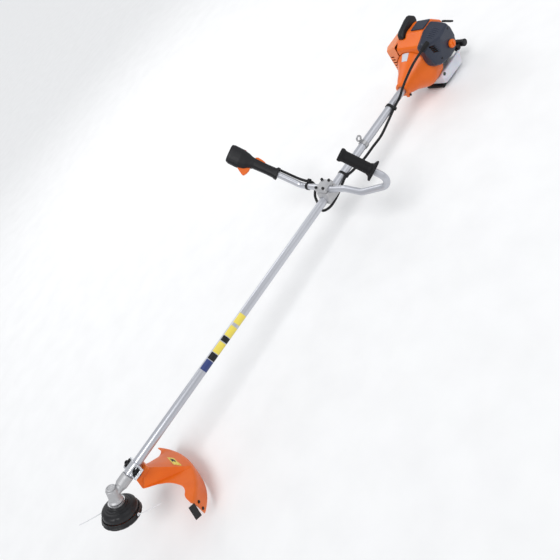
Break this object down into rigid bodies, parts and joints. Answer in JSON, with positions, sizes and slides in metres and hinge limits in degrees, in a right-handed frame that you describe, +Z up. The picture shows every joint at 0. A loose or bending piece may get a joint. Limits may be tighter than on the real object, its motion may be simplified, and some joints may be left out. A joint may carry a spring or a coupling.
{
  "type": "string trimmer",
  "caption": "Petrol string trimmer with a straight drive tube, bevel-gear line head, flared guard, bicycle handlebar with throttle grip and rear engine.",
  "frame": {"origin": "centre of the footprint, on the ground the tool lies on", "axes": "+X runs from the cutting head to the engine, +Y is the operator's right, +Z is up"},
  "size_m": [1.9068, 0.5489, 0.3812],
  "materials": {
    "silver_paint": "fine satin",
    "cast_aluminium": "matte cast",
    "steel": "machined",
    "bright_steel": "polished",
    "black_plastic": "fine grain",
    "cable_jacket": "ribbed conduit",
    "grip_rubber": "soft matte",
    "black_screws": "black oxide",
    "orange_plastic": "satin gloss",
    "light_orange_plastic": "satin",
    "slate_plastic": "satin",
    "red_plastic": "glossy",
    "tank_plastic": "translucent milky",
    "nylon_line": "smooth nylon"
  },
  "bodies": {
    "frame": {"drive_tube": "silver_paint", "tube_bush": "black_plastic", "gearbox_housing": "cast_aluminium", "gearbox_cap": "cast_aluminium", "guard": "orange_plastic", "guard_plate": "bright_steel", "guard_strap": "bright_steel", "guard_bolt_1": "black_screws", "guard_bolt_2": "black_screws", "line_knife": "black_plastic", "harness_hanger": "steel", "bar_clamp_base": "cast_aluminium", "bar_clamp_cap": "cast_aluminium", "clamp_bolt_1": "black_screws", "clamp_bolt_2": "black_screws", "clamp_bolt_3": "black_screws", "clamp_bolt_4": "black_screws", "handlebar": "silver_paint", "left_grip": "grip_rubber", "throttle_grip_front": "black_plastic", "throttle_grip_rear": "black_plastic", "control_cable": "cable_jacket", "cable_band": "black_plastic", "cable_clip": "black_plastic", "clutch_housing": "orange_plastic", "crankcase": "cast_aluminium", "cylinder": "cast_aluminium", "spark_plug": "steel", "engine_cowl": "orange_plastic", "top_strip": "slate_plastic", "top_cap": "black_plastic", "muffler_cover": "light_orange_plastic", "muffler": "steel", "air_filter_cover": "slate_plastic", "carburettor": "cast_aluminium", "starter_housing": "black_plastic", "fuel_tank": "tank_plastic", "engine_foot": "black_plastic"},
    "head": {"output_gear": "steel", "output_spindle": "steel", "head_cover": "black_plastic", "head_base": "black_plastic", "line_end_1": "nylon_line", "line_end_2": "nylon_line"},
    "spool": {"line_spool": "orange_plastic", "bump_knob": "black_plastic"},
    "drive_line": {"drive_shaft": "steel", "drive_pinion": "steel", "clutch_drum": "steel"},
    "crank": {"crankshaft": "steel", "flywheel": "cast_aluminium", "clutch_shoes": "steel"},
    "piston": {"piston": "cast_aluminium"},
    "throttle_trigger": {"throttle_trigger": "orange_plastic"},
    "lockout_lever": {"lockout_lever": "orange_plastic"},
    "stop_switch": {"stop_switch": "red_plastic"},
    "starter_handle": {"starter_handle": "black_plastic"},
    "choke_lever": {"choke_lever": "black_plastic"},
    "filter_knob": {"filter_knob": "orange_plastic"},
    "fuel_cap": {"fuel_cap": "black_plastic"}
  },
  "joints": [
    {"name": "head_spin", "type": "hinge", "parent": "frame", "child": "head", "pos_m": [-0.8502, -0.0086, 0.20344], "axis": [0.5464, 0, 0.8375], "continuous": true},
    {"name": "bump_feed", "type": "slide", "parent": "head", "child": "spool", "axis": [0.5464, 0, 0.8375], "range_m": [0, 0.006], "stiffness_N_per_m": 600, "springref_m": -0.006},
    {"name": "drive_spin", "type": "hinge", "parent": "frame", "child": "drive_line", "pos_m": [-0.8502, -0.0086, 0.20344], "axis": [0.9985, 0, -0.0545], "continuous": true},
    {"name": "crank_spin", "type": "hinge", "parent": "frame", "child": "crank", "pos_m": [-0.8502, -0.0086, 0.20344], "axis": [0.9985, 0, -0.0545], "continuous": true},
    {"name": "piston_stroke", "type": "slide", "parent": "frame", "child": "piston", "axis": [0.0545, 0, 0.9985], "range_m": [-0.024, 0]},
    {"name": "throttle_pull", "type": "hinge", "parent": "frame", "child": "throttle_trigger", "pos_m": [0.16305, 0.23371, 0.33075], "axis": [-0.2039, -0.7562, 0.6217], "range_deg": [0, 20], "stiffness_Nm_per_rad": 0.3, "springref_deg": -14.32},
    {"name": "lockout_press", "type": "hinge", "parent": "frame", "child": "lockout_lever", "pos_m": [0.20653, 0.18339, 0.2838], "axis": [-0.2039, -0.7562, 0.6217], "range_deg": [0, 6], "stiffness_Nm_per_rad": 0.3, "springref_deg": -11.46},
    {"name": "stop_slide", "type": "slide", "parent": "frame", "child": "stop_switch", "axis": [-0.1295, 0.6503, 0.7485], "range_m": [-0.003, 0.003]},
    {"name": "starter_pull", "type": "slide", "parent": "frame", "child": "starter_handle", "axis": [0.9985, 0, -0.0545], "range_m": [0, 0.6], "stiffness_N_per_m": 30, "springref_m": -0.2},
    {"name": "choke_turn", "type": "hinge", "parent": "frame", "child": "choke_lever", "pos_m": [0.87634, -0.0806, 0.19391], "axis": [0, -1, 0], "range_deg": [0, 40]},
    {"name": "filter_knob_turn", "type": "hinge", "parent": "frame", "child": "filter_knob", "pos_m": [0.82778, -0.1116, 0.13897], "axis": [0, -1, 0], "range_deg": [0, 90]},
    {"name": "fuel_cap_turn", "type": "hinge", "parent": "frame", "child": "fuel_cap", "pos_m": [0.88286, 0.0314, 0.02881], "axis": [0.9765, 0, -0.2155], "range_deg": [0, 270]}
  ],
  "couplings": [
    {"joint": "drive_spin", "follows": "head_spin", "ratio": -1.3077}
  ]
}
